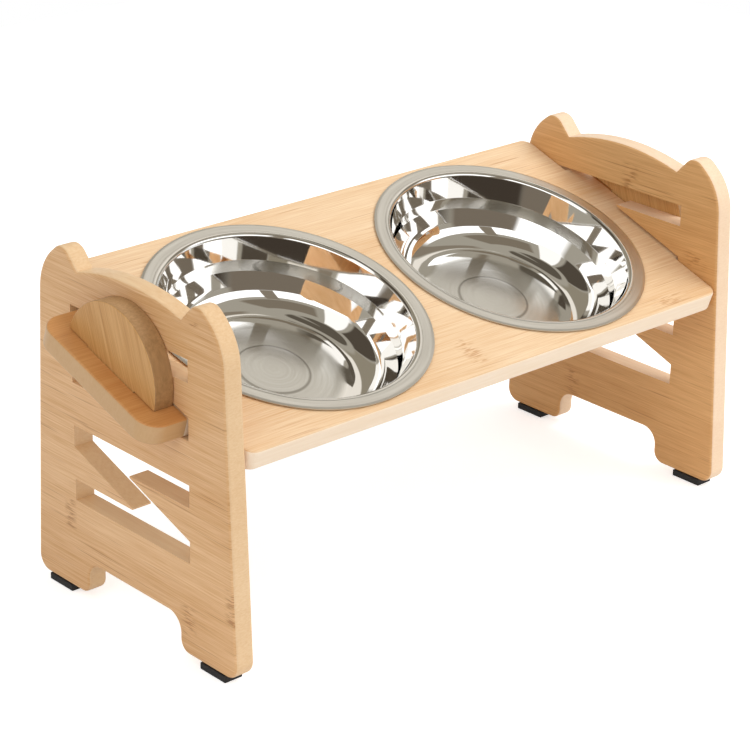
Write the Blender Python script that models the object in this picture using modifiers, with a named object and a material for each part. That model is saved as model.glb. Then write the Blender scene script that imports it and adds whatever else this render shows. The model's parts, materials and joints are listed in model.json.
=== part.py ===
"""Raised feeding station: two flat bamboo side panels carry a tilted tray board.

The tray's end tabs lie in Z-shaped slots in the panels and are locked outside them by
half-round keys. Two stainless bowls hang by their rims in the tray. Run in Blender 4.5.
X runs along the tray, Y from front to back, Z up, in metres; the floor is at Z = 0.
"""
import math

import bmesh
import bpy
from mathutils import Vector

# Boards: all bamboo pieces are cut from one thickness
BOARD = 0.012
GAP = 0.0003                 # clearance between pieces that touch
EDGE_ROUND = 0.0013          # rounded edges of the boards
EDGE_STEPS = 2
ARC_STEP = math.radians(11)  # one facet of a rounded outline
OVERLAP = 0.006              # how far a mirrored half runs past its plane
CUT_PAST = 0.004             # how far a cutter runs past the faces it cuts

# Side panels, outlines as (distance from the middle, height above the foot)
PANEL_OUTER_X = 0.188
PANEL_INNER_X = PANEL_OUTER_X - BOARD
ARCH_HEIGHT = 0.0197
ARCH_FILLET = 0.0095
FOOT_INNER = 0.0395
FOOT_OUTER = 0.0861
FOOT_INNER_ROUND = 0.007
FOOT_OUTER_ROUND = 0.0085
EAR_SHOULDER = (0.0761, 0.1824)
EAR_SHOULDER_ROUND = 0.032
EAR_PEAK = (0.0555, 0.1987)
EAR_PEAK_ROUND = 0.009
NOTCH = (0.043, 0.1853)
CROWN_RISE = 0.0062          # crown arc between the notches
CROWN_FACETS = 9

# Z-shaped slots, measured from the slot's own middle
SLOT_HEIGHTS = (0.0756, 0.1440)
SLOT_HALF_DEPTH = 0.049
SLOT_HALF_HEIGHT = 0.022
SLOT_BAR = 0.0126
TONGUE_PAST_MIDDLE = 0.001
TONGUE_TIP = 0.001

# Tray board, in its own tilted frame: X along, Y up the slope, Z out of the top
TRAY_TILT = math.radians(18.7)
TRAY_HEIGHT = 0.1434         # middle of the board above the feet
TRAY_HALF_DEPTH = 0.084
TRAY_CORNER_ROUND = 0.007
TAB_END_X = 0.212
TAB_HALF_DEPTH = 0.0485
TAB_CORNER_ROUND = 0.012
BOWL_X = 0.0834
BOWL_HOLE_RADIUS = 0.074
HOLE_FACETS = 64

# Locking keys: a half disc on the tab with a tenon through the tab
KEY_RADIUS = 0.037
KEY_CENTRE_DROP = 0.002      # disc's middle below the tab's top face
KEY_FACETS = 24
TENON_HALF_DEPTH = 0.020
MORTISE_BEHIND_PANEL = 0.0004

# Bowls, profile as (radius, height above the tray's top)
STEEL = 0.0006
BOWL_FACETS = 48
RIM_RADIUS = 0.080
RIM_EDGE_HEIGHT = GAP + STEEL
BEAD = (0.0716, 0.0016)
BEAD_ROUND = 0.0013
STEP_TOP = (0.0666, -0.0126)
STEP_BOTTOM = (0.0656, -0.0196)
BOWL_DEPTH = 0.038
BOTTOM_CORNER = 0.056
BOTTOM_ROUND = 0.020
DISC_RADIUS = 0.0205
DISC_RISE = 0.0006
DISC_SLOPE = 0.0006

# Rubber pads under the four feet
PAD_HEIGHT = 0.0042
PAD_LENGTH = 0.0205
PAD_WIDTH = 0.0115
PAD_MIDDLE_Y = 0.066
PAD_ROUND = 0.0005


def clear_scene():
    for item in list(bpy.data.objects):
        bpy.data.objects.remove(item)


def new_collection(name):
    group = bpy.data.collections.new(name)
    bpy.context.scene.collection.children.link(group)
    return group


def finish_material(name, colour, roughness, metallic):
    """A Principled material with the piece's colour, roughness and metallic value."""
    material = bpy.data.materials.new(name)
    material.use_nodes = True
    shader = material.node_tree.nodes["Principled BSDF"]
    shader.inputs["Base Color"].default_value = (*colour, 1.0)
    shader.inputs["Roughness"].default_value = roughness
    shader.inputs["Metallic"].default_value = metallic
    material.diffuse_color = (*colour, 1.0)
    return material


def rounded(corners, closed=True):
    """Turn corners (x, y, radius) into points, with each corner of a radius as an arc."""
    points = []
    count = len(corners)
    for i, (x, y, radius) in enumerate(corners):
        corner = Vector((x, y))
        if radius == 0 or (not closed and i in (0, count - 1)):
            points.append(corner)
            continue
        before = (Vector(corners[i - 1][:2]) - corner).normalized()
        after = (Vector(corners[(i + 1) % count][:2]) - corner).normalized()
        half_angle = before.angle(after) / 2
        centre = corner + (before + after).normalized() * radius / math.sin(half_angle)
        start = corner + before * radius / math.tan(half_angle) - centre
        turn = math.pi - 2 * half_angle
        side = 1 if before.x * after.y - before.y * after.x < 0 else -1
        steps = max(2, math.ceil(turn / ARC_STEP))
        for k in range(steps + 1):
            angle = side * turn * k / steps
            cosine = math.cos(angle)
            sine = math.sin(angle)
            points.append(centre + Vector((start.x * cosine - start.y * sine,
                                           start.x * sine + start.y * cosine)))
    return points


def board_faces_at(edge):
    """The board's own flat faces that meet at the edge: two, one or none."""
    return [face for face in edge.link_faces if abs(face.normal.z) > 0.5]


def clean_board(work):
    """Weld the extruded outline, make each face one polygon and mark the edges to round."""
    bmesh.ops.remove_doubles(work, verts=work.verts, dist=0.00001)
    work.normal_update()
    inner = [edge for edge in work.edges if len(board_faces_at(edge)) == 2]
    bmesh.ops.dissolve_edges(work, edges=inner)
    work.normal_update()
    weight = work.edges.layers.float.new("bevel_weight_edge")
    for edge in work.edges:
        edge[weight] = 1.0 if len(board_faces_at(edge)) == 1 else 0.0


def flat_piece(name, outline, thickness, group):
    """A board of the outline, extruded half its thickness each way, as a welded mesh."""
    curve = bpy.data.curves.new(name, "CURVE")
    curve.dimensions = "2D"
    curve.fill_mode = "BOTH"
    curve.extrude = thickness / 2
    spline = curve.splines.new("POLY")
    spline.points.add(len(outline) - 1)
    for point, (x, y) in zip(spline.points, outline):
        point.co = (x, y, 0, 1)
    spline.use_cyclic_u = True
    drawn = bpy.data.objects.new(name, curve)
    group.objects.link(drawn)
    graph = bpy.context.evaluated_depsgraph_get()
    mesh = bpy.data.meshes.new_from_object(drawn.evaluated_get(graph))
    bpy.data.objects.remove(drawn)
    bpy.data.curves.remove(curve)
    work = bmesh.new()
    work.from_mesh(mesh)
    clean_board(work)
    work.to_mesh(mesh)
    work.free()
    mesh.name = name
    piece = bpy.data.objects.new(name, mesh)
    group.objects.link(piece)
    return piece


def mirror_half(piece):
    """Mirror the half on the +X side of the piece's own frame."""
    mirror = piece.modifiers.new("mirror", "MIRROR")
    mirror.use_axis = (True, False, False)
    mirror.use_bisect_axis = (True, False, False)
    mirror.merge_threshold = 0.00005


def round_edges(piece, width, limit="WEIGHT"):
    bevel = piece.modifiers.new("rounded_edges", "BEVEL")
    bevel.width = width
    bevel.segments = EDGE_STEPS
    bevel.limit_method = limit


def cut(piece, cutter):
    cutter.hide_render = True
    cutter.display_type = "WIRE"
    boolean = piece.modifiers.new(cutter.name, "BOOLEAN")
    boolean.operation = "DIFFERENCE"
    boolean.solver = "EXACT"
    boolean.object = cutter


def smooth(piece, angle=35):
    piece.data.shade_smooth()
    piece.data.set_sharp_from_angle(angle=math.radians(angle))


def panel_half_outline():
    """Half of a panel: arch, foot, tapering side, ear, notch and half of the crown."""
    corners = [
        (-OVERLAP, ARCH_HEIGHT, 0),
        (FOOT_INNER, ARCH_HEIGHT, ARCH_FILLET),
        (FOOT_INNER, 0, FOOT_INNER_ROUND),
        (FOOT_OUTER, 0, FOOT_OUTER_ROUND),
        (*EAR_SHOULDER, EAR_SHOULDER_ROUND),
        (*EAR_PEAK, EAR_PEAK_ROUND),
    ]
    notch_x, notch_height = NOTCH
    radius = (notch_x ** 2 + CROWN_RISE ** 2) / (2 * CROWN_RISE)
    for k in range(CROWN_FACETS + 1):
        x = notch_x + (-OVERLAP - notch_x) * k / CROWN_FACETS
        drop = radius - math.sqrt(radius ** 2 - x ** 2)
        corners.append((x, notch_height + CROWN_RISE - drop, 0))
    return rounded(corners)


def slot_outline():
    """A Z-shaped slot: two bars joined by a sloping passage between two tongues."""
    lower_half = [
        (-SLOT_HALF_DEPTH, -SLOT_HALF_HEIGHT),
        (SLOT_HALF_DEPTH, -SLOT_HALF_HEIGHT),
        (SLOT_HALF_DEPTH, SLOT_BAR - SLOT_HALF_HEIGHT),
        (-TONGUE_PAST_MIDDLE, SLOT_BAR - SLOT_HALF_HEIGHT),
        (-TONGUE_PAST_MIDDLE, SLOT_BAR - SLOT_HALF_HEIGHT + TONGUE_TIP),
        (SLOT_HALF_DEPTH, SLOT_HALF_HEIGHT - SLOT_BAR),
    ]
    upper_half = [(-x, -y) for x, y in lower_half]
    return lower_half + upper_half


def side_panel(name, x, material, parts, cutters):
    """An upright panel; its own X runs front to back and its own Y up."""
    panel = flat_piece(name, panel_half_outline(), BOARD, parts)
    panel.data.materials.append(material)
    smooth(panel)
    mirror_half(panel)
    round_edges(panel, EDGE_ROUND)
    panel.location = (x, 0, PAD_HEIGHT)
    panel.rotation_euler = (math.radians(90), 0, math.radians(90))
    for number, height in enumerate(SLOT_HEIGHTS, start=1):
        slot_name = "{}_slot_{}".format(name, number)
        slot = flat_piece(slot_name, slot_outline(), BOARD + 2 * CUT_PAST, cutters)
        slot.location = (x, 0, PAD_HEIGHT + height)
        slot.rotation_euler = panel.rotation_euler
        cut(panel, slot)
    return panel


def tray_half_outline():
    """Half of the tray board: long edges, shoulder inside the panel and end tab."""
    shoulder = PANEL_INNER_X - GAP
    return rounded([
        (-OVERLAP, -TRAY_HALF_DEPTH, 0),
        (shoulder, -TRAY_HALF_DEPTH, TRAY_CORNER_ROUND),
        (shoulder, -TAB_HALF_DEPTH, 0),
        (TAB_END_X, -TAB_HALF_DEPTH, TAB_CORNER_ROUND),
        (TAB_END_X, TAB_HALF_DEPTH, TAB_CORNER_ROUND),
        (shoulder, TAB_HALF_DEPTH, 0),
        (shoulder, TRAY_HALF_DEPTH, TRAY_CORNER_ROUND),
        (-OVERLAP, TRAY_HALF_DEPTH, 0),
    ])


def bowl_hole_cutter(name, x, cutters):
    mesh = bpy.data.meshes.new(name)
    work = bmesh.new()
    bmesh.ops.create_cone(work, cap_ends=True, segments=HOLE_FACETS, radius1=BOWL_HOLE_RADIUS,
                          radius2=BOWL_HOLE_RADIUS, depth=BOARD + 2 * CUT_PAST)
    work.to_mesh(mesh)
    work.free()
    hole = bpy.data.objects.new(name, mesh)
    hole.location.x = x
    cutters.objects.link(hole)
    return hole


def box_piece(name, size, group):
    mesh = bpy.data.meshes.new(name)
    work = bmesh.new()
    bmesh.ops.create_cube(work, size=1)
    bmesh.ops.scale(work, vec=size, verts=work.verts)
    work.to_mesh(mesh)
    work.free()
    box = bpy.data.objects.new(name, mesh)
    group.objects.link(box)
    return box


def tray_board(tilt, material, parts, cutters):
    """The tilted board with two bowl holes and a mortise through each tab."""
    tray = flat_piece("tray_board", tray_half_outline(), BOARD, parts)
    tray.data.materials.append(material)
    smooth(tray)
    mirror_half(tray)
    round_edges(tray, EDGE_ROUND)
    tray.parent = tilt
    mortise_start = PANEL_OUTER_X - MORTISE_BEHIND_PANEL
    mortise_end = PANEL_OUTER_X + GAP + BOARD + GAP
    for side_name, side in (("left", -1), ("right", 1)):
        hole = bowl_hole_cutter("{}_bowl_hole".format(side_name), side * BOWL_X, cutters)
        size = (mortise_end - mortise_start, 2 * (TENON_HALF_DEPTH + GAP), BOARD + 2 * CUT_PAST)
        mortise = box_piece("{}_mortise".format(side_name), size, cutters)
        mortise.location.x = side * (mortise_start + mortise_end) / 2
        for cutter in (hole, mortise):
            cutter.parent = tilt
            cut(tray, cutter)
    return tray


def key_outline():
    """A half disc standing on the tab, and the tenon that goes down through it."""
    foot_angle = math.asin((KEY_CENTRE_DROP + GAP) / KEY_RADIUS)
    span = math.pi - 2 * foot_angle
    arc = []
    for k in range(KEY_FACETS + 1):
        angle = foot_angle + span * k / KEY_FACETS
        arc.append((KEY_RADIUS * math.cos(angle), KEY_RADIUS * math.sin(angle) - KEY_CENTRE_DROP))
    tenon = [
        (-TENON_HALF_DEPTH, GAP),
        (-TENON_HALF_DEPTH, -BOARD),
        (TENON_HALF_DEPTH, -BOARD),
        (TENON_HALF_DEPTH, GAP),
    ]
    return arc + tenon


def locking_key(name, side, tilt, material, parts):
    """A key pressed flat against the outside of a panel, its origin on the tab's top."""
    key = flat_piece(name, key_outline(), BOARD, parts)
    key.data.materials.append(material)
    smooth(key)
    round_edges(key, EDGE_ROUND)
    key.parent = tilt
    key.location = (side * (PANEL_OUTER_X + GAP + BOARD / 2), 0, BOARD / 2)
    key.rotation_euler = (math.radians(90), 0, math.radians(90))
    return key


def bowl_profile():
    """The bowl's upper surface from the rim's outer edge in to the middle of the bottom."""
    return rounded([
        (RIM_RADIUS, RIM_EDGE_HEIGHT, 0),
        (*BEAD, BEAD_ROUND),
        (*STEP_TOP, 0),
        (*STEP_BOTTOM, 0),
        (BOTTOM_CORNER, -BOWL_DEPTH, BOTTOM_ROUND),
        (DISC_RADIUS + DISC_SLOPE, -BOWL_DEPTH, 0),
        (DISC_RADIUS - DISC_SLOPE, DISC_RISE - BOWL_DEPTH, 0),
        (0, DISC_RISE - BOWL_DEPTH, 0),
    ], closed=False)


def bowl(name, side, tilt, material, parts):
    """A spun steel bowl, its origin on its own axis at the tray's top."""
    mesh = bpy.data.meshes.new(name)
    work = bmesh.new()
    points = [work.verts.new((radius, 0, height)) for radius, height in bowl_profile()]
    for start, end in zip(points, points[1:]):
        work.edges.new((start, end))
    work.to_mesh(mesh)
    work.free()
    mesh.materials.append(material)
    piece = bpy.data.objects.new(name, mesh)
    parts.objects.link(piece)
    turn = piece.modifiers.new("turned", "SCREW")
    turn.steps = BOWL_FACETS
    turn.render_steps = BOWL_FACETS
    turn.use_merge_vertices = True
    turn.merge_threshold = 0.00005
    turn.use_smooth_shade = True
    shell = piece.modifiers.new("sheet", "SOLIDIFY")
    shell.thickness = STEEL
    shell.offset = -1
    piece.parent = tilt
    piece.location = (side * BOWL_X, 0, BOARD / 2)
    return piece


def foot_pad(name, x, y, material, parts):
    """A rubber pad stuck under the outer end of a foot."""
    pad = box_piece(name, (PAD_WIDTH, PAD_LENGTH, PAD_HEIGHT - GAP), parts)
    pad.data.materials.append(material)
    smooth(pad)
    round_edges(pad, PAD_ROUND, "ANGLE")
    pad.location = (x, y, (PAD_HEIGHT - GAP) / 2)
    return pad


clear_scene()
parts = new_collection("raised_feeding_station")
cutters = new_collection("cutters")

panel_bamboo = finish_material("panel_bamboo", (0.66, 0.42, 0.20), 0.5, 0.0)
tray_bamboo = finish_material("tray_bamboo", (0.78, 0.55, 0.31), 0.45, 0.0)
key_bamboo = finish_material("key_bamboo", (0.62, 0.38, 0.18), 0.5, 0.0)
bowl_steel = finish_material("bowl_steel", (0.72, 0.71, 0.69), 0.12, 1.0)
pad_rubber = finish_material("pad_rubber", (0.02, 0.02, 0.02), 0.8, 0.0)

tilt = bpy.data.objects.new("tray_tilt", None)
tilt.location = (0, 0, PAD_HEIGHT + TRAY_HEIGHT)
tilt.rotation_euler.x = TRAY_TILT
parts.objects.link(tilt)

panel_middle_x = (PANEL_OUTER_X + PANEL_INNER_X) / 2
tray_board(tilt, tray_bamboo, parts, cutters)
for side_name, side in (("left", -1), ("right", 1)):
    x = side * panel_middle_x
    side_panel("{}_side_panel".format(side_name), x, panel_bamboo, parts, cutters)
    locking_key("{}_locking_key".format(side_name), side, tilt, key_bamboo, parts)
    bowl("{}_bowl".format(side_name), side, tilt, bowl_steel, parts)
    for end_name, end in (("front", -1), ("back", 1)):
        pad_name = "foot_pad_{}_{}".format(side_name, end_name)
        foot_pad(pad_name, x, end * PAD_MIDDLE_Y, pad_rubber, parts)
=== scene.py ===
"""Looks of the raised feeding station: bamboo boards, polished steel bowls and rubber pads.

Metres, +Z up, +X along the tray from the left panel to the right one.
"""

import json
import math

import bmesh
import bpy
from mathutils import Matrix, Vector

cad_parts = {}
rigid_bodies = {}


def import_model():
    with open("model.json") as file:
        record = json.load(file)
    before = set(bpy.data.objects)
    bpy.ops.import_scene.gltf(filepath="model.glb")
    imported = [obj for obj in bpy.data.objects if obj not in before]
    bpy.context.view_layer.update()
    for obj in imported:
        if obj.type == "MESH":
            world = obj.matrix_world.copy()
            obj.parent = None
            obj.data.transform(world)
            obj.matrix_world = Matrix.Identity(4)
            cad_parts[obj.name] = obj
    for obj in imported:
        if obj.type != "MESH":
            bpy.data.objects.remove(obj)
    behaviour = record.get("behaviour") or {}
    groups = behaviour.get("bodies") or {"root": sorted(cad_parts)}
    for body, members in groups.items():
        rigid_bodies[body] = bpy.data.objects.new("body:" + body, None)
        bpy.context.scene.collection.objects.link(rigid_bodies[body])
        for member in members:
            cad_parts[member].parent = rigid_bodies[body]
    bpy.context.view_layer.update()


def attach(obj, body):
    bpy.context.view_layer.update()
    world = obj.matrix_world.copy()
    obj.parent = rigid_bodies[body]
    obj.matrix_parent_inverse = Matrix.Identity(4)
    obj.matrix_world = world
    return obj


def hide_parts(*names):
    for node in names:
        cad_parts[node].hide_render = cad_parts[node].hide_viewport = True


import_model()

# Camera: a long lens from the front left, above the tray and turned very slightly.
# Its place and angles were fitted to the station's corners and to both bowl rims.
CAMERA_PLACE = Vector((-0.8925, -0.9534, 0.64535))
CAMERA_AZIMUTH = math.radians(42.528)
CAMERA_DOWN = math.radians(22.849)
CAMERA_ROLL = math.radians(-1.025)
LENS_MM = 121.07
SENSOR_MM = 36

forward = Vector((math.sin(CAMERA_AZIMUTH) * math.cos(CAMERA_DOWN),
                  math.cos(CAMERA_AZIMUTH) * math.cos(CAMERA_DOWN),
                  -math.sin(CAMERA_DOWN)))
level_right = Vector((math.cos(CAMERA_AZIMUTH), -math.sin(CAMERA_AZIMUTH), 0))
level_below = forward.cross(level_right)
picture_right = math.cos(CAMERA_ROLL) * level_right + math.sin(CAMERA_ROLL) * level_below
picture_below = math.cos(CAMERA_ROLL) * level_below - math.sin(CAMERA_ROLL) * level_right
camera_data = bpy.data.cameras.new("camera")
camera_data.lens = LENS_MM
camera_data.sensor_width = SENSOR_MM
camera = bpy.data.objects.new("camera", camera_data)
bpy.context.scene.collection.objects.link(camera)
turn = Matrix((picture_right, -picture_below, -forward)).transposed()
camera.matrix_world = Matrix.Translation(CAMERA_PLACE) @ turn.to_4x4()
bpy.context.scene.camera = camera
bpy.context.scene.view_settings.view_transform = "Standard"

# Studio: a white floor and a white surround that light the object softly from all sides.
# The camera sees pure white. Polished metal shows the white backdrop behind the object, and
# elsewhere the dim room with its softboxes. The floor keeps the object's soft shadow.
SURROUND_LIGHT = 0.66
ROOM_COLOUR = "#a39d90"
SEEN_IN_METAL = [
    # direction and half width, in degrees from +Y towards +X, height and half height in degrees,
    # colour and strength; a later one hides an earlier one
    ("white backdrop", 45, 95, -35, 45, "#ffffff", 1.0),
    ("dark floor behind the camera", -155, 62, -30, 28, "#3f372f", 1.0),
    ("dim wall behind the camera", -150, 48, 5, 10, "#766c5f", 1.0),
    ("dark ceiling", 0, 180, 84, 9, "#5a5348", 1.0),
    ("dark ceiling at the back", -45, 28, 50, 21, "#4f473d", 1.0),
    ("grey ceiling at the back", 13, 30, 50, 21, "#8f8776", 1.0),
    ("dim corner on the right", 107, 10, 40, 24, "#857b6c", 1.0),
    ("brown ceiling in front", -160, 42, 52, 13, "#7c7263", 1.0),
    ("right softbox", 66, 30, 48, 18, "#fbf4e8", 0.88),
    ("long front softbox", -158, 84, 22, 11, "#ffffff", 1.5),
    ("gap between its panels", -163, 7, 25, 14, "#857b6c", 1.0),
    ("left softbox", -94, 16, 50, 24, "#f6f4f0", 1.2),
]
SOFT_EDGE = 0.88             # a patch is full inside this share of its half width
WHITE = (1, 1, 1, 1)
FLOOR_HALF_SIZE = 0.75
FLOOR_MIDDLE = (0.3, 0.3, 0)
FLOOR_COLOUR = "#f2f0ee"
FLOOR_GLOW = 0.56
FLOOR_GLOW_IN_METAL = 0.1
LAMPS = [
    # name, place, size, power in watts
    ("right_softbox", (0.8, -0.5, 1.35), 0.9, 11.0),
    ("front_softbox", (0.45, -1.45, 0.95), 0.9, 4.0),
    ("left_softbox", (-1.5, -0.45, 1.0), 0.9, 4.8),
]
LAMPS_AIM = Vector((0, 0, 0.1))


def colour(code):
    """A colour written as sRGB, turned into the linear values that a shader takes."""
    channels = [int(code[i:i + 2], 16) / 255 for i in (1, 3, 5)]
    linear = [c / 12.92 if c <= 0.04045 else ((c + 0.055) / 1.055) ** 2.4 for c in channels]
    return (*linear, 1.0)


def add(tree, kind, inputs=None, **settings):
    """Add a node, set its attributes, and link or set its inputs.

    A node given as an input is linked by its first output. A Mix node of colours takes them at
    its inputs 6 and 7, and gives the mixed one at output 2.
    """
    node = tree.nodes.new(kind)
    for name, value in settings.items():
        setattr(node, name, value)
    for key, value in (inputs or {}).items():
        if isinstance(value, bpy.types.Node):
            value = value.outputs[0]
        if isinstance(value, bpy.types.NodeSocket):
            tree.links.new(value, node.inputs[key])
        else:
            node.inputs[key].default_value = value
    return node


def mirrored(tree, path):
    """One for rays that a glossy or clear surface sends on."""
    return add(tree, "ShaderNodeMath", {0: path.outputs["Is Glossy Ray"],
                                        1: path.outputs["Is Transmission Ray"]},
               operation="MAXIMUM")


world = bpy.data.worlds.new("white_surround")
bpy.context.scene.world = world
world.use_nodes = True
tree = world.node_tree
tree.nodes.clear()
direction = add(tree, "ShaderNodeTexCoord").outputs["Object"]
split = add(tree, "ShaderNodeSeparateXYZ", {0: direction})
azimuth = add(tree, "ShaderNodeMath", {0: split.outputs["X"], 1: split.outputs["Y"]},
              operation="ARCTAN2")
elevation = add(tree, "ShaderNodeMath", {0: split.outputs["Z"]}, operation="ARCSINE")
path = add(tree, "ShaderNodeLightPath")
in_metal = mirrored(tree, path)
room = colour(ROOM_COLOUR)
for _, towards, half_width, height, half_height, tone, brightness in SEEN_IN_METAL:
    aside = add(tree, "ShaderNodeMath", {0: azimuth, 1: math.radians(towards)},
                operation="SUBTRACT")
    aside = add(tree, "ShaderNodeMath", {0: aside, 1: math.pi, 2: -math.pi}, operation="WRAP")
    above = add(tree, "ShaderNodeMath", {0: elevation, 1: math.radians(height)},
                operation="SUBTRACT")
    inside = 1.0
    for off, half in ((aside, math.radians(half_width)), (above, math.radians(half_height))):
        distance = add(tree, "ShaderNodeMath", {0: off}, operation="ABSOLUTE")
        band = add(tree, "ShaderNodeMapRange", {"Value": distance, "From Min": half,
                                                "From Max": half * SOFT_EDGE})
        inside = add(tree, "ShaderNodeMath", {0: inside, 1: band}, operation="MULTIPLY")
    lit = [channel * brightness for channel in colour(tone)]
    room = add(tree, "ShaderNodeMix", {"Factor": inside, 6: room, 7: lit},
               data_type="RGBA").outputs[2]
room = add(tree, "ShaderNodeMix", {"Factor": in_metal, 6: WHITE, 7: room},
           data_type="RGBA").outputs[2]
seen = add(tree, "ShaderNodeMath", {0: path.outputs["Is Camera Ray"], 1: in_metal},
           operation="MAXIMUM")
strength = add(tree, "ShaderNodeMapRange", {"Value": seen, "To Min": SURROUND_LIGHT})
surround = add(tree, "ShaderNodeBackground", {"Color": room, "Strength": strength})
add(tree, "ShaderNodeOutputWorld", {"Surface": surround})

floor_mesh = bpy.data.meshes.new("floor")
work = bmesh.new()
bmesh.ops.create_grid(work, x_segments=1, y_segments=1, size=FLOOR_HALF_SIZE)
work.to_mesh(floor_mesh)
work.free()
floor = bpy.data.objects.new("floor", floor_mesh)
floor.location = FLOOR_MIDDLE
bpy.context.scene.collection.objects.link(floor)
paper = bpy.data.materials.new("white_paper_floor")
paper.use_nodes = True
tree = paper.node_tree
tree.nodes.clear()
matt = add(tree, "ShaderNodeBsdfDiffuse", {"Color": colour(FLOOR_COLOUR)})
path = add(tree, "ShaderNodeLightPath")
glow = add(tree, "ShaderNodeMath", {0: path.outputs["Is Camera Ray"], 1: FLOOR_GLOW},
           operation="MULTIPLY")
glow = add(tree, "ShaderNodeMath", {0: mirrored(tree, path), 1: FLOOR_GLOW_IN_METAL, 2: glow},
           operation="MULTIPLY_ADD")
glow = add(tree, "ShaderNodeEmission", {"Strength": glow})
lit_paper = add(tree, "ShaderNodeAddShader", {0: matt, 1: glow})
add(tree, "ShaderNodeOutputMaterial", {"Surface": lit_paper})
floor_mesh.materials.append(paper)

for name, place, size, power in LAMPS:
    lamp_data = bpy.data.lights.new(name, "AREA")
    lamp_data.shape = "SQUARE"
    lamp_data.size = size
    lamp_data.energy = power
    lamp = bpy.data.objects.new(name, lamp_data)
    lamp.location = place
    lamp.visible_glossy = False
    lamp.rotation_euler = (LAMPS_AIM - lamp.location).to_track_quat("-Z", "Y").to_euler()
    bpy.context.scene.collection.objects.link(lamp)

# Bamboo: strips about 22 mm wide are glued edge to edge into a board, sanded and varnished.
# It shows long straight fibres, slightly different strips, and the marks of the stem's nodes.
STRIP_WIDTH = 0.022
FINE_FIBRES = (26, 1300, 500)          # repeats a metre along, across and through the grain
STREAKS = (7, 240, 100)
PATCHES = (5, 12, 12)
DARK_FIBRES = (18, 1000, 300)
NODE_DASHES = (110, 1000, 300)
FIBRE_BREAKUP = 0.65
GRAIN_WANDER = 0.0016                  # how far the fibres stray across the board
WANDER_REPEATS = (10, 9, 0)
NOISE_RANGE = (0.3, 0.7)               # most values of a noise lie between these
MIDDLE_TONE = 0.5
FINE_CONTRAST = 0.40
STREAK_CONTRAST = 0.15
STRIP_CONTRAST = 0.10
PATCH_CONTRAST = 0.2
DARK_FIBRE_RANGE = (0.66, 0.74)
DASH_RANGE = (0.50, 0.60)
DASH_DARKNESS = 0.6
MARK_FADE_ALONG = (1.5, 0.4)           # a mark fades from nothing to full between these shares
MARK_FADE_ACROSS = (1.0, 0.85)
VARNISH_ROUGHNESS = 0.42
VARNISH_VARIATION = 0.06
GRAIN_RELIEF = 0.15
GRAIN_DEPTH = 0.0003


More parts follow.
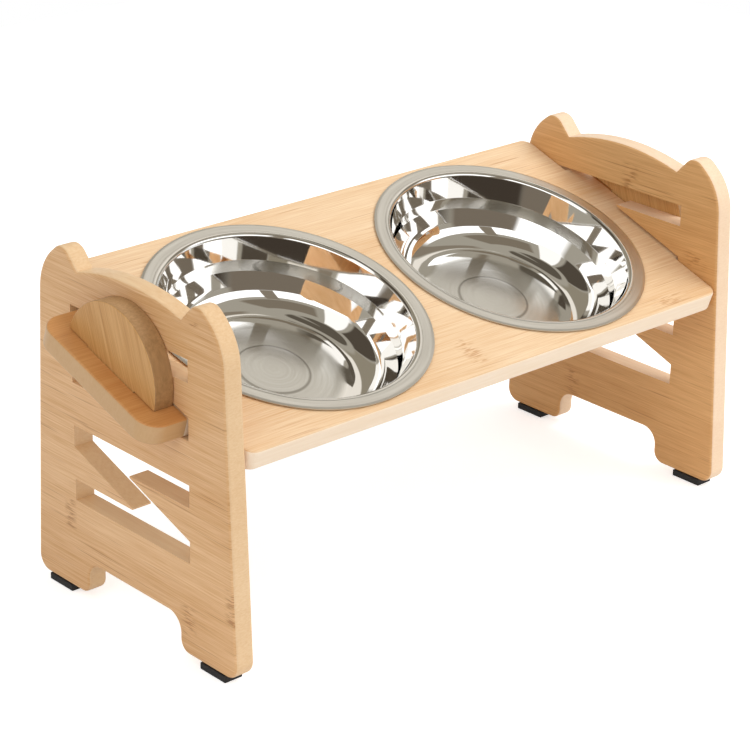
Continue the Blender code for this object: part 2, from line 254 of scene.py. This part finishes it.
def bamboo(name, pale, deep, mark, axes, marks=(), place=(0, 0, 0), tilt=0.0, dark_fibres=0.5,
           ends=None):
    """Varnished bamboo. axes names which coordinate runs along, across and through the grain.

    marks are the node marks (along, across, half length, half width), dark_fibres is how dark
    single fibres show; ends, where given, is the distance from the middle beyond which a painted
    shade darkens the wood, and the tint of that painted shade.
    """
    material = bpy.data.materials.new(name)
    material.use_nodes = True
    tree = material.node_tree
    shader = tree.nodes["Principled BSDF"]
    here = add(tree, "ShaderNodeTexCoord").outputs["Object"]
    board = add(tree, "ShaderNodeMapping", {"Vector": here, "Location": place,
                                            "Rotation": (tilt, 0, 0)}, vector_type="TEXTURE")
    split = add(tree, "ShaderNodeSeparateXYZ", {0: board})
    along, across, through = (split.outputs[axis] for axis in axes)

    # the fibres wander a little across the board on their way along it
    wander = add(tree, "ShaderNodeCombineXYZ", {0: along, 1: across})
    wander = add(tree, "ShaderNodeVectorMath", {0: wander, 1: WANDER_REPEATS},
                 operation="MULTIPLY")
    wander = add(tree, "ShaderNodeTexNoise", {"Vector": wander, "Scale": 1.0, "Detail": 1.0})
    wavy = add(tree, "ShaderNodeMath", {0: wander, 1: GRAIN_WANDER, 2: across},
               operation="MULTIPLY_ADD")
    grain = add(tree, "ShaderNodeCombineXYZ", {0: along, 1: wavy, 2: through})

    def fibres(repeats, detail):
        """A pattern drawn out along the grain, with so many repeats a metre each way."""
        scaled = add(tree, "ShaderNodeVectorMath", {0: grain, 1: repeats}, operation="MULTIPLY")
        return add(tree, "ShaderNodeTexNoise", {"Vector": scaled, "Scale": 1.0, "Detail": detail,
                                                "Roughness": FIBRE_BREAKUP})

    # fine fibres under a millimetre apart, streaks of several millimetres, wide patches, and
    # strips of slightly different tones each change the wood between pale and deep
    fine = fibres(FINE_FIBRES, 3.0)
    strip_number = add(tree, "ShaderNodeMath", {0: across, 1: STRIP_WIDTH}, operation="DIVIDE")
    strip_number = add(tree, "ShaderNodeMath", {0: strip_number}, operation="FLOOR")
    strip_tone = add(tree, "ShaderNodeTexWhiteNoise", {"W": strip_number}, noise_dimensions="1D")
    tone = MIDDLE_TONE
    for pattern, (low, high), contrast in (
            (fine, NOISE_RANGE, FINE_CONTRAST),
            (fibres(STREAKS, 2.0), NOISE_RANGE, STREAK_CONTRAST),
            (strip_tone, (0.0, 1.0), STRIP_CONTRAST),
            (fibres(PATCHES, 1.0), NOISE_RANGE, PATCH_CONTRAST)):
        change = add(tree, "ShaderNodeMapRange", {"Value": pattern, "From Min": low,
                                                  "From Max": high, "To Min": -contrast,
                                                  "To Max": contrast})
        tone = add(tree, "ShaderNodeMath", {0: tone, 1: change}, operation="ADD")
    wood = add(tree, "ShaderNodeMix", {"Factor": tone, 6: colour(deep), 7: colour(pale)},
               data_type="RGBA", clamp_factor=True).outputs[2]

    # thin dark fibres here and there, 10 to 40 mm long
    low, high = DARK_FIBRE_RANGE
    darker = add(tree, "ShaderNodeMapRange", {"Value": fibres(DARK_FIBRES, 1.0), "From Min": low,
                                              "From Max": high, "To Max": dark_fibres})

    # node marks: short dark dashes in a row across one strip
    low, high = DASH_RANGE
    dashes = add(tree, "ShaderNodeMapRange", {"Value": fibres(NODE_DASHES, 1.0), "From Min": low,
                                              "From Max": high, "To Max": DASH_DARKNESS})
    row = 0.0
    for mark_along, mark_across, half_length, half_width in marks:
        inside = 1.0
        for coordinate, middle, half, (none, full) in (
                (along, mark_along, half_length, MARK_FADE_ALONG),
                (across, mark_across, half_width, MARK_FADE_ACROSS)):
            off = add(tree, "ShaderNodeMath", {0: coordinate, 1: middle}, operation="SUBTRACT")
            off = add(tree, "ShaderNodeMath", {0: off}, operation="ABSOLUTE")
            fade = add(tree, "ShaderNodeMapRange", {"Value": off, "From Min": half * none,
                                                    "From Max": half * full})
            inside = add(tree, "ShaderNodeMath", {0: inside, 1: fade}, operation="MULTIPLY")
        row = add(tree, "ShaderNodeMath", {0: row, 1: inside}, operation="MAXIMUM")
    dashes = add(tree, "ShaderNodeMath", {0: dashes, 1: row}, operation="MULTIPLY")
    darker = add(tree, "ShaderNodeMath", {0: darker, 1: dashes}, operation="MAXIMUM")
    wood = add(tree, "ShaderNodeMix", {"Factor": darker, 6: wood, 7: colour(mark)},
               data_type="RGBA").outputs[2]
    # painted shade: beyond the given distance from the middle the wood is multiplied by a darker,
    # more orange tint
    if ends:
        painted_shade_from, tint = ends
        past = add(tree, "ShaderNodeMath", {0: along}, operation="ABSOLUTE")
        past = add(tree, "ShaderNodeMath", {0: past, 1: painted_shade_from}, operation="GREATER_THAN")
        wood = add(tree, "ShaderNodeMix", {"Factor": past, 6: wood, 7: colour(tint)},
                   data_type="RGBA", blend_type="MULTIPLY").outputs[2]
    tree.links.new(wood, shader.inputs["Base Color"])
    low, high = NOISE_RANGE
    gloss = add(tree, "ShaderNodeMapRange", {"Value": fine, "From Min": low, "From Max": high,
                                             "To Min": VARNISH_ROUGHNESS + VARNISH_VARIATION,
                                             "To Max": VARNISH_ROUGHNESS - VARNISH_VARIATION})
    tree.links.new(gloss.outputs[0], shader.inputs["Roughness"])
    relief = add(tree, "ShaderNodeBump", {"Height": fine, "Strength": GRAIN_RELIEF,
                                          "Distance": GRAIN_DEPTH})
    tree.links.new(relief.outputs[0], shader.inputs["Normal"])
    return material


# Side panels: 12 mm boards cut on a router, with their outer edges rounded over and sanded.
# Each has two feet, two ears, and two sharp-edged Z-shaped slots that the tray's tabs fit.
BOARD = 0.012
GAP = 0.0003                 # clearance between pieces that only lie against each other
PANEL_EDGE_ROUND = 0.0019
EDGE_STEPS = 5
EDGE_ANGLE = math.radians(40)
CUT_PAST = 0.004             # how far a cutter stands out of the board
FACE_FROM = 0.5              # a board's rounded edge belongs to the face where it faces so far out
ARC_STEP = math.radians(4)
MERGE_WITHIN = 0.000005
PANEL_OUTER_X = 0.188
PANEL_INNER_X = PANEL_OUTER_X - BOARD
PAD_HEIGHT = 0.0042
ARCH = (0.0395, 0.0197, 0.0095)
FOOT_INNER_ROUND = 0.007
FOOT_OUTER = (0.0861, 0, 0.0085)
EAR_SHOULDER = (0.0761, 0.1824, 0.032)
EAR_PEAK = (0.0555, 0.1987, 0.009)
NOTCH = (0.043, 0.1853)
CROWN_RISE = 0.0062
CROWN_FACETS = 14
SLOT_HEIGHTS = (0.0756, 0.1440)
SLOT_HALF_DEPTH = 0.049
SLOT_HALF_HEIGHT = 0.022
SLOT_BAR = 0.0126
TONGUE_PAST_MIDDLE = 0.001
TONGUE_TIP = 0.001
PANEL_MARKS = [
    # along (front to back), across (height), half length, half width
    (0.0545, 0.047, 0.004, 0.011),
    (-0.047, 0.024, 0.005, 0.009),
    (-0.082, 0.045, 0.004, 0.011),
    (-0.054, 0.1916, 0.003, 0.003),
]
FAR_PANEL_MARKS = [
    (-0.008, 0.1755, 0.005, 0.011),
    (-0.0625, 0.140, 0.007, 0.0045),
    (0.03, 0.035, 0.005, 0.010),
]


def rounded(corners):
    """Turn corners (x, y, radius) into points, with each corner of a radius as an arc."""
    points = []
    for i, (x, y, radius) in enumerate(corners):
        corner = Vector((x, y))
        if radius == 0:
            points.append(corner)
            continue
        before = (Vector(corners[i - 1][:2]) - corner).normalized()
        after = (Vector(corners[(i + 1) % len(corners)][:2]) - corner).normalized()
        half_angle = before.angle(after) / 2
        centre = corner + (before + after).normalized() * radius / math.sin(half_angle)
        start = corner + before * radius / math.tan(half_angle) - centre
        span = math.pi - 2 * half_angle
        side = 1 if before.x * after.y - before.y * after.x < 0 else -1
        steps = max(2, math.ceil(span / ARC_STEP))
        for k in range(steps + 1):
            angle = side * span * k / steps
            points.append(centre + Matrix.Rotation(angle, 2) @ start)
    return points


def drawn_board(name, outline, half_thickness, rounding):
    """A closed outline drawn as a flat curve, thickened, with its edges rounded, as a mesh."""
    curve = bpy.data.curves.new(name, "CURVE")
    curve.dimensions = "2D"
    curve.fill_mode = "BOTH"
    curve.extrude = half_thickness - rounding
    curve.bevel_depth = rounding
    curve.bevel_resolution = EDGE_STEPS - 1
    curve.offset = -rounding
    spline = curve.splines.new("POLY")
    spline.points.add(len(outline) - 1)
    for point, (x, y) in zip(spline.points, outline):
        point.co = (x, y, 0, 1)
    spline.use_cyclic_u = True
    drawn = bpy.data.objects.new(name + "_drawn", curve)
    bpy.context.scene.collection.objects.link(drawn)
    graph = bpy.context.evaluated_depsgraph_get()
    mesh = bpy.data.meshes.new_from_object(drawn.evaluated_get(graph))
    bpy.data.objects.remove(drawn)
    work = bmesh.new()
    work.from_mesh(mesh)
    bmesh.ops.remove_doubles(work, verts=work.verts, dist=MERGE_WITHIN)
    bmesh.ops.recalc_face_normals(work, faces=work.faces)
    work.to_mesh(mesh)
    work.free()
    made = bpy.data.objects.new(name, mesh)
    bpy.context.scene.collection.objects.link(made)
    return made


def bake(piece):
    """Apply every modifier of a piece, so that it is left as a plain mesh."""
    graph = bpy.context.evaluated_depsgraph_get()
    mesh = bpy.data.meshes.new_from_object(piece.evaluated_get(graph))
    piece.modifiers.clear()
    piece.data = mesh
    mesh.name = piece.name


def shade(piece, sharp_angle):
    """Shade a piece smoothly with its large faces flat, and edges past the angle sharp."""
    piece.data.shade_smooth()
    piece.data.set_sharp_from_angle(angle=sharp_angle)
    weighted = piece.modifiers.new("flat_faces", "WEIGHTED_NORMAL")
    weighted.keep_sharp = True
    bake(piece)


def board_piece(name, outline, rounding, matrix, face, edge, cuts=(), joins=()):
    """A board from its outline, with cuts sawn through it and joins added, placed by the matrix."""
    piece = drawn_board(name, outline, BOARD / 2, rounding)
    piece.data.materials.clear()
    piece.data.materials.append(face)
    piece.data.materials.append(edge)
    for operation, tools in (("UNION", joins), ("DIFFERENCE", cuts)):
        for tool in tools:
            boolean = piece.modifiers.new(tool.name, "BOOLEAN")
            boolean.operation = operation
            boolean.solver = "EXACT"
            boolean.object = tool
    bake(piece)
    for polygon in piece.data.polygons:
        polygon.material_index = 0 if abs(polygon.normal.z) > FACE_FROM else 1
    shade(piece, EDGE_ANGLE)
    piece.data.transform(matrix)
    for tool in (*cuts, *joins):
        bpy.data.objects.remove(tool)
    return piece


def panel_outline():
    """Arch, foot, side, ear and the crown, then the first four mirrored."""
    notch_x, notch_height = NOTCH
    radius = (notch_x ** 2 + CROWN_RISE ** 2) / (2 * CROWN_RISE)
    half = [
        ARCH,
        (ARCH[0], 0, FOOT_INNER_ROUND),
        FOOT_OUTER,
        EAR_SHOULDER,
        EAR_PEAK,
        (notch_x, notch_height, 0),
    ]
    crown = []
    for k in range(1, CROWN_FACETS):
        x = notch_x - 2 * notch_x * k / CROWN_FACETS
        drop = radius - math.sqrt(radius ** 2 - x ** 2)
        crown.append((x, notch_height + CROWN_RISE - drop, 0))
    other = [(-x, y, r) for x, y, r in reversed(half)]
    return rounded(half + crown + other)


def slot_outline(height):
    """Two bars joined by a sloping passage between two tongues."""
    lower_half = [
        (-SLOT_HALF_DEPTH, -SLOT_HALF_HEIGHT),
        (SLOT_HALF_DEPTH, -SLOT_HALF_HEIGHT),
        (SLOT_HALF_DEPTH, SLOT_BAR - SLOT_HALF_HEIGHT),
        (-TONGUE_PAST_MIDDLE, SLOT_BAR - SLOT_HALF_HEIGHT),
        (-TONGUE_PAST_MIDDLE, SLOT_BAR - SLOT_HALF_HEIGHT + TONGUE_TIP),
        (SLOT_HALF_DEPTH, SLOT_HALF_HEIGHT - SLOT_BAR),
    ]
    upper_half = [(-x, -y) for x, y in lower_half]
    return [(x, y + height) for x, y in lower_half + upper_half]


UPRIGHT = ("Y", "Z", "X")
left_face = bamboo("varnished_bamboo_left_panel", "#eec494", "#ce995e", "#9c6029", UPRIGHT,
                   PANEL_MARKS)
left_edge = bamboo("sanded_bamboo_edge_left_panel", "#ebca9f", "#e0b98a", "#cf9f6c", UPRIGHT,
                   dark_fibres=0)
# The right panel is the same bamboo as the left. Its face colours are darker and more orange as
# painted shade, for the tray's shade and the light bounced off the wood on its inner side. Its edge
# colours are paler as painted light from the right.
right_face_painted_shade = bamboo("varnished_bamboo_right_panel_painted_shade", "#e9b67a", "#cb9255", "#a4682f", UPRIGHT,
                    FAR_PANEL_MARKS)
right_edge_painted_light = bamboo("sanded_bamboo_edge_right_panel_painted_light", "#f6dabb", "#eecdaa", "#d5a878", UPRIGHT,
                    dark_fibres=0)
UPRIGHT_TURN = Matrix(((0, 0, 1, 0), (1, 0, 0, 0), (0, 1, 0, 0), (0, 0, 0, 1)))
panel_middle_x = (PANEL_OUTER_X + PANEL_INNER_X) / 2
for side_name, side, face, edge in (("left", -1, left_face, left_edge),
                                    ("right", 1, right_face_painted_shade, right_edge_painted_light)):
    place = Matrix.Translation((side * panel_middle_x, 0, PAD_HEIGHT)) @ UPRIGHT_TURN
    slots = [drawn_board("slot_cutter", slot_outline(height), BOARD / 2 + CUT_PAST, 0)
             for height in SLOT_HEIGHTS]
    panel = board_piece("{}_panel_board".format(side_name), panel_outline(), PANEL_EDGE_ROUND,
                        place, face, edge, cuts=slots)
    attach(panel, "stand")
    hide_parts("{}_side_panel".format(side_name))

# Tray: one board with two round holes and a tab at each end, set at a slope in the slots.
# Its grain runs along its length; the tabs lie in the panels' shade, which is painted into their
# wood and edges as a darker, more orange tint.
TRAY_TILT = math.radians(18.7)
TRAY_HEIGHT = 0.1434
TRAY_HALF_DEPTH = 0.084
TRAY_CORNER_ROUND = 0.007
TRAY_EDGE_ROUND = 0.0014
TAB_END_X = 0.212
TAB_HALF_DEPTH = 0.0485
TAB_CORNER_ROUND = 0.012
# beyond this distance the tabs' wood and edges take a painted shade, darker and more orange, for
# the panels' shade on them
TAB_PAINTED_SHADE_FROM = PANEL_OUTER_X - 0.0005
TAB_PAINTED_SHADE = "#e6c294"
TAB_EDGE_PAINTED_SHADE = "#d2ba98"
BOWL_X = 0.0834
BOWL_HOLE_RADIUS = 0.074
HOLE_POINTS = 96
TENON_HALF_DEPTH = 0.020
MORTISE_BEHIND_PANEL = 0.0004
TRAY_MIDDLE = Vector((0, 0, PAD_HEIGHT + TRAY_HEIGHT))
TRAY_PLACE = Matrix.Translation(TRAY_MIDDLE) @ Matrix.Rotation(TRAY_TILT, 4, "X")
TRAY_AXES = ("X", "Y", "Z")
TRAY_MARKS = [
    # along (left to right), across (front to back), half length, half width
    (-0.0075, -0.066, 0.005, 0.011),
    (0.140, -0.078, 0.012, 0.004),
    (-0.125, 0.062, 0.004, 0.009),
]


def circle(x, radius):
    """Points of a circle in the board."""
    angles = [2 * math.pi * k / HOLE_POINTS for k in range(HOLE_POINTS)]
    return [(x + radius * math.cos(angle), radius * math.sin(angle)) for angle in angles]


def rectangle(low_x, high_x, low_y, high_y):
    """Points of a rectangle in the board."""
    return [(low_x, low_y), (high_x, low_y), (high_x, high_y), (low_x, high_y)]


shoulder = PANEL_INNER_X - GAP
right_half = [
    (shoulder, -TRAY_HALF_DEPTH, TRAY_CORNER_ROUND),
    (shoulder, -TAB_HALF_DEPTH, 0),
    (TAB_END_X, -TAB_HALF_DEPTH, TAB_CORNER_ROUND),
    (TAB_END_X, TAB_HALF_DEPTH, TAB_CORNER_ROUND),
    (shoulder, TAB_HALF_DEPTH, 0),
    (shoulder, TRAY_HALF_DEPTH, TRAY_CORNER_ROUND),
]
tray_outline = rounded(right_half + [(-x, y, r) for x, y, r in reversed(right_half)])
mortise_start = PANEL_OUTER_X - MORTISE_BEHIND_PANEL
mortise_end = PANEL_OUTER_X + GAP + BOARD + GAP
mortise_depth = TENON_HALF_DEPTH + GAP
cuts = []
for side in (-1, 1):
    ends = sorted((side * mortise_start, side * mortise_end))
    cuts.append(drawn_board("mortise_cutter", rectangle(*ends, -mortise_depth, mortise_depth),
                            BOARD / 2 + CUT_PAST, 0))
    cuts.append(drawn_board("hole_cutter", circle(side * BOWL_X, BOWL_HOLE_RADIUS),
                            BOARD / 2 + CUT_PAST, 0))
tray_face = bamboo("varnished_bamboo_tray_with_painted_tab_shade", "#f3d6b0", "#deb281", "#b97b42", TRAY_AXES,
                   TRAY_MARKS, TRAY_MIDDLE, TRAY_TILT, ends=(TAB_PAINTED_SHADE_FROM, TAB_PAINTED_SHADE))
tray_edge = bamboo("sanded_bamboo_edge_tray_with_painted_tab_shade", "#fdead2", "#f6dfc2", "#e0b88c", TRAY_AXES, (),
                   TRAY_MIDDLE, TRAY_TILT, dark_fibres=0, ends=(TAB_PAINTED_SHADE_FROM, TAB_EDGE_PAINTED_SHADE))
tray = board_piece("tray_top_board", tray_outline, TRAY_EDGE_ROUND, TRAY_PLACE, tray_face,
                   tray_edge, cuts=cuts)
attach(tray, "stand")
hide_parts("tray_board")

# Locking keys: half discs sawn from the same board, each with a tenon through the tab.
# The grain of the one that shows stands nearly upright on the tab.
KEY_RADIUS = 0.037
KEY_CENTRE_DROP = 0.002
KEY_ROUND = 0.0007
KEY_FACETS = 64
KEY_GRAIN_TURN = math.radians(53)
KEY_AXES = ("Y", "Z", "X")
TENON_OVERLAP = 0.003

key_outline = []
foot_angle = math.asin((KEY_CENTRE_DROP + GAP) / KEY_RADIUS)
for k in range(KEY_FACETS + 1):
    angle = foot_angle + (math.pi - 2 * foot_angle) * k / KEY_FACETS
    key_outline.append((KEY_RADIUS * math.cos(angle),
                        KEY_RADIUS * math.sin(angle) - KEY_CENTRE_DROP))
key_face = bamboo("varnished_bamboo_key", "#dfb074", "#c08c4e", "#a06a36", KEY_AXES, (),
                  TRAY_MIDDLE, TRAY_TILT + KEY_GRAIN_TURN)
key_edge = bamboo("sawn_bamboo_edge_key", "#b98f60", "#9c774c", "#7a5833", KEY_AXES, (),
                  TRAY_MIDDLE, TRAY_TILT + KEY_GRAIN_TURN, dark_fibres=0)
for side_name, side in (("left", -1), ("right", 1)):
    on_tab = Matrix.Translation((side * (PANEL_OUTER_X + GAP + BOARD / 2), 0, BOARD / 2))
    tenon = drawn_board("tenon", rectangle(-TENON_HALF_DEPTH, TENON_HALF_DEPTH, -BOARD,
                                           GAP + TENON_OVERLAP), BOARD / 2, 0)
    key = board_piece("{}_half_round_key".format(side_name), key_outline, KEY_ROUND,
                      TRAY_PLACE @ on_tab @ UPRIGHT_TURN, key_face, key_edge, joins=[tenon])
    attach(key, "{}_key".format(side_name))
    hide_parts("{}_locking_key".format(side_name))

# Bowls: stainless sheet drawn and spun into a bowl with a stepped wall and a beaded rim.
# Rim and bottom are satin, and the wall between them is polished to a mirror.
STEEL = 0.0006
BOWL_STEPS = 256
STEP_ANGLE = math.radians(50)
RIM_RADIUS = 0.080
RIM_EDGE_HEIGHT = 0.0006
RIM_OUTER_BEND = (0.0786, 0.0010, 0.002)
RIM_INNER_BEND = (0.0737, 0.0010, 0.001)
BEAD = (0.0716, 0.0016, 0.0022)
STEP_TOP = (0.0666, -0.0126, 0.0004)
STEP_BOTTOM = (0.0656, -0.0196, 0.0004)
BOWL_DEPTH = 0.038
BOTTOM_CORNER = (0.056, -BOWL_DEPTH, 0.020)
DISC_RADIUS = 0.0205
DISC_RISE = 0.0006
DISC_SLOPE = 0.0006
SATIN_RIM = (BEAD[0] + 0.0004, BEAD[0] + 0.0014)   # the satin fades in between these radii
SATIN_BOTTOM = (0.041, 0.037)
RIM_ROUGHNESS = 0.36
BOTTOM_ROUGHNESS = 0.2
MIRROR_ROUGHNESS = 0.04
LINE_REPEATS = (700, 25, 25)                       # fast along the radius, slowly round the bowl
LINE_ROUGHNESS = (0.85, 0.3)                       # least roughness, and what the lines add
MIRROR_TINT = "#f8f7f5"
SATIN_TINTS = ("#fcfbf8", "#dedcd6")
BOTTOM_TINT = "#9e9d98"
BOTTOM_TINT_SHARE = 0.35
DARK_RING_HALF_WIDTH = 0.0012        # half width of the darker ring painted round the disc
RING_TINT = "#7d796f"
RING_TINT_SHARE = 0.75
WAVE_REPEATS = (60, 60, 18)
WAVE_RELIEF = 0.15
WAVE_DEPTH = 0.0004


def polished_steel(name, place):
    """Spun stainless steel; its finish changes with the distance from the bowl's own axis."""
    material = bpy.data.materials.new(name)
    material.use_nodes = True
    tree = material.node_tree
    shader = tree.nodes["Principled BSDF"]
    shader.inputs["Metallic"].default_value = 1.0
    here = add(tree, "ShaderNodeTexCoord").outputs["Object"]
    in_bowl = add(tree, "ShaderNodeMapping", {"Vector": here, "Location": place,
                                              "Rotation": (TRAY_TILT, 0, 0)},
                  vector_type="TEXTURE")
    split = add(tree, "ShaderNodeSeparateXYZ", {0: in_bowl})
    flat = add(tree, "ShaderNodeCombineXYZ", {0: split.outputs["X"], 1: split.outputs["Y"]})
    reach = add(tree, "ShaderNodeVectorMath", {0: flat}, operation="LENGTH").outputs["Value"]
    start, end = SATIN_RIM
    rim = add(tree, "ShaderNodeMapRange", {"Value": reach, "From Min": start, "From Max": end})
    start, end = SATIN_BOTTOM
    bottom = add(tree, "ShaderNodeMapRange", {"Value": reach, "From Min": start,
                                              "From Max": end})
    off_ring = add(tree, "ShaderNodeMath", {0: reach, 1: DISC_RADIUS}, operation="SUBTRACT")
    off_ring = add(tree, "ShaderNodeMath", {0: off_ring}, operation="ABSOLUTE")
    ring = add(tree, "ShaderNodeMapRange", {"Value": off_ring, "From Min": DARK_RING_HALF_WIDTH,
                                            "From Max": 0.0, "To Max": RING_TINT_SHARE})

    # polishing lines run round the bowl: they change along the radius, slowly round it
    rings = add(tree, "ShaderNodeCombineXYZ", {0: reach, 1: split.outputs["X"],
                                               2: split.outputs["Y"]})
    rings = add(tree, "ShaderNodeVectorMath", {0: rings, 1: LINE_REPEATS}, operation="MULTIPLY")
    lines = add(tree, "ShaderNodeTexNoise", {"Vector": rings, "Scale": 1.0, "Detail": 2.0})
    least, added = LINE_ROUGHNESS
    uneven = add(tree, "ShaderNodeMath", {0: lines, 1: added, 2: least},
                 operation="MULTIPLY_ADD")
    satin = add(tree, "ShaderNodeMath", {0: rim, 1: RIM_ROUGHNESS}, operation="MULTIPLY")
    satin_bottom = add(tree, "ShaderNodeMath", {0: bottom, 1: BOTTOM_ROUGHNESS},
                       operation="MULTIPLY")
    satin = add(tree, "ShaderNodeMath", {0: satin, 1: satin_bottom}, operation="MAXIMUM")
    satin = add(tree, "ShaderNodeMath", {0: satin, 1: uneven, 2: MIRROR_ROUGHNESS},
                operation="MULTIPLY_ADD")
    tree.links.new(satin.outputs[0], shader.inputs["Roughness"])

    # satin takes its tone from the lines; the bottom is greyer, and darkest at a ring round the
    # disc
    light, dark = SATIN_TINTS
    satin_tone = add(tree, "ShaderNodeMix", {"Factor": lines, 6: colour(light),
                                             7: colour(dark)}, data_type="RGBA").outputs[2]
    is_satin = add(tree, "ShaderNodeMath", {0: rim, 1: bottom}, operation="MAXIMUM")
    tone = add(tree, "ShaderNodeMix", {"Factor": is_satin, 6: colour(MIRROR_TINT),
                                       7: satin_tone}, data_type="RGBA").outputs[2]
    greyer = add(tree, "ShaderNodeMath", {0: bottom, 1: BOTTOM_TINT_SHARE}, operation="MULTIPLY")
    for share, tint in ((greyer, BOTTOM_TINT), (ring, RING_TINT)):
        tone = add(tree, "ShaderNodeMix", {"Factor": share, 6: tone, 7: colour(tint)},
                   data_type="RGBA").outputs[2]
    tree.links.new(tone, shader.inputs["Base Color"])
    waves = add(tree, "ShaderNodeVectorMath", {0: in_bowl, 1: WAVE_REPEATS},
                operation="MULTIPLY")
    waves = add(tree, "ShaderNodeTexNoise", {"Vector": waves, "Scale": 1.0, "Detail": 1.0})
    relief = add(tree, "ShaderNodeBump", {"Height": waves, "Strength": WAVE_RELIEF,
                                          "Distance": WAVE_DEPTH})
    tree.links.new(relief.outputs[0], shader.inputs["Normal"])
    return material


profile = rounded([
    (RIM_RADIUS, RIM_EDGE_HEIGHT, 0),
    RIM_OUTER_BEND,
    RIM_INNER_BEND,
    BEAD,
    STEP_TOP,
    STEP_BOTTOM,
    BOTTOM_CORNER,
    (DISC_RADIUS + DISC_SLOPE, -BOWL_DEPTH, 0),
    (DISC_RADIUS - DISC_SLOPE, DISC_RISE - BOWL_DEPTH, 0),
    (0, DISC_RISE - BOWL_DEPTH, 0),
])

# the spinner lays a grid of steps round the axis by points down the profile, and moves each of
# its points to where spinning takes that point of the profile; its faces look into the bowl
spinner = bpy.data.node_groups.new("spun_sheet", "GeometryNodeTree")
for socket_name, kind in (("Profile", "NodeSocketGeometry"), ("Steps", "NodeSocketInt"),
                          ("Merge Within", "NodeSocketFloat"), ("Steel", "NodeSocketMaterial")):
    spinner.interface.new_socket(socket_name, in_out="INPUT", socket_type=kind)
spinner.interface.new_socket("Bowl", in_out="OUTPUT", socket_type="NodeSocketGeometry")
given = add(spinner, "NodeGroupInput").outputs
drawn = add(spinner, "GeometryNodeAttributeDomainSize", {"Geometry": given["Profile"]})
columns = add(spinner, "FunctionNodeIntegerMath", {0: given["Steps"], 1: 1}, operation="ADD")
grid = add(spinner, "GeometryNodeMeshGrid", {"Vertices X": columns,
                                             "Vertices Y": drawn.outputs["Point Count"]})
index = add(spinner, "GeometryNodeInputIndex")
column = add(spinner, "FunctionNodeIntegerMath", {0: index, 1: drawn.outputs["Point Count"]},
             operation="DIVIDE_FLOOR")
row = add(spinner, "FunctionNodeIntegerMath", {0: index, 1: drawn.outputs["Point Count"]},
          operation="MODULO")
step_angle = add(spinner, "ShaderNodeMath", {0: math.tau, 1: given["Steps"]},
                 operation="DIVIDE")
angle = add(spinner, "ShaderNodeMath", {0: column, 1: step_angle}, operation="MULTIPLY")
drawn_point = add(spinner, "GeometryNodeSampleIndex",
                  {"Geometry": given["Profile"], "Value": add(spinner, "GeometryNodeInputPosition"),
                   "Index": row}, data_type="FLOAT_VECTOR")
spun_point = add(spinner, "ShaderNodeVectorRotate", {"Vector": drawn_point, "Angle": angle},
                 rotation_type="Z_AXIS")
sheet = add(spinner, "GeometryNodeSetPosition", {"Geometry": grid, "Position": spun_point})
sheet = add(spinner, "GeometryNodeMergeByDistance", {"Geometry": sheet,
                                                     "Distance": given["Merge Within"]})
sheet = add(spinner, "GeometryNodeFlipFaces", {"Mesh": sheet})
sheet = add(spinner, "GeometryNodeRealizeInstances", {"Geometry": sheet})
sheet = add(spinner, "GeometryNodeSetMaterial", {"Geometry": sheet, "Material": given["Steel"]})
add(spinner, "NodeGroupOutput", {"Bowl": sheet})
sockets = {item.name: item.identifier for item in spinner.interface.items_tree}

for side_name, side in (("left", -1), ("right", 1)):
    place = TRAY_PLACE @ Matrix.Translation((side * BOWL_X, 0, BOARD / 2))
    steel = polished_steel("spun_stainless_steel_{}_bowl".format(side_name), place.translation)
    mesh = bpy.data.meshes.new("{}_bowl_profile".format(side_name))
    mesh.from_pydata([(radius, 0, height) for radius, height in profile], [], [])
    bowl = bpy.data.objects.new("{}_spun_bowl".format(side_name), mesh)
    bpy.context.scene.collection.objects.link(bowl)
    spin = bowl.modifiers.new("spun", "NODES")
    spin.node_group = spinner
    spin[sockets["Steps"]] = BOWL_STEPS
    spin[sockets["Merge Within"]] = MERGE_WITHIN
    spin[sockets["Steel"]] = steel
    wall = bowl.modifiers.new("wall", "SOLIDIFY")
    wall.thickness = STEEL
    wall.offset = -1
    bake(bowl)
    shade(bowl, STEP_ANGLE)
    bowl.data.transform(place)
    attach(bowl, "{}_bowl".format(side_name))
    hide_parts("{}_bowl".format(side_name))

# Foot pads: blocks of black rubber with crisp edges, moulded with a fine grain.
# They are glued under the panels' feet, and the CAD blocks themselves take this finish.
GRAINS_PER_METRE = 2200.0
RUBBER_TINTS = ("#1c1c1d", "#303031")
RUBBER_ROUGHNESS = (0.6, 0.85)
RUBBER_RELIEF = 0.3
RUBBER_DEPTH = 0.0001

rubber = bpy.data.materials.new("moulded_black_rubber")
rubber.use_nodes = True
tree = rubber.node_tree
shader = tree.nodes["Principled BSDF"]
here = add(tree, "ShaderNodeTexCoord").outputs["Object"]
grains = add(tree, "ShaderNodeTexNoise", {"Vector": here, "Scale": GRAINS_PER_METRE,
                                          "Detail": 2.0})
dark, light = RUBBER_TINTS
tone = add(tree, "ShaderNodeMix", {"Factor": grains, 6: colour(dark), 7: colour(light)},
           data_type="RGBA")
tree.links.new(tone.outputs[2], shader.inputs["Base Color"])
least, most = RUBBER_ROUGHNESS
dull = add(tree, "ShaderNodeMapRange", {"Value": grains, "To Min": least, "To Max": most})
tree.links.new(dull.outputs[0], shader.inputs["Roughness"])
relief = add(tree, "ShaderNodeBump", {"Height": grains, "Strength": RUBBER_RELIEF,
                                      "Distance": RUBBER_DEPTH})
tree.links.new(relief.outputs[0], shader.inputs["Normal"])
for side_name in ("left", "right"):
    for end_name in ("front", "back"):
        pad = bpy.data.objects["foot_pad_{}_{}".format(side_name, end_name)]
        for material_slot in pad.material_slots:
            material_slot.material = rubber
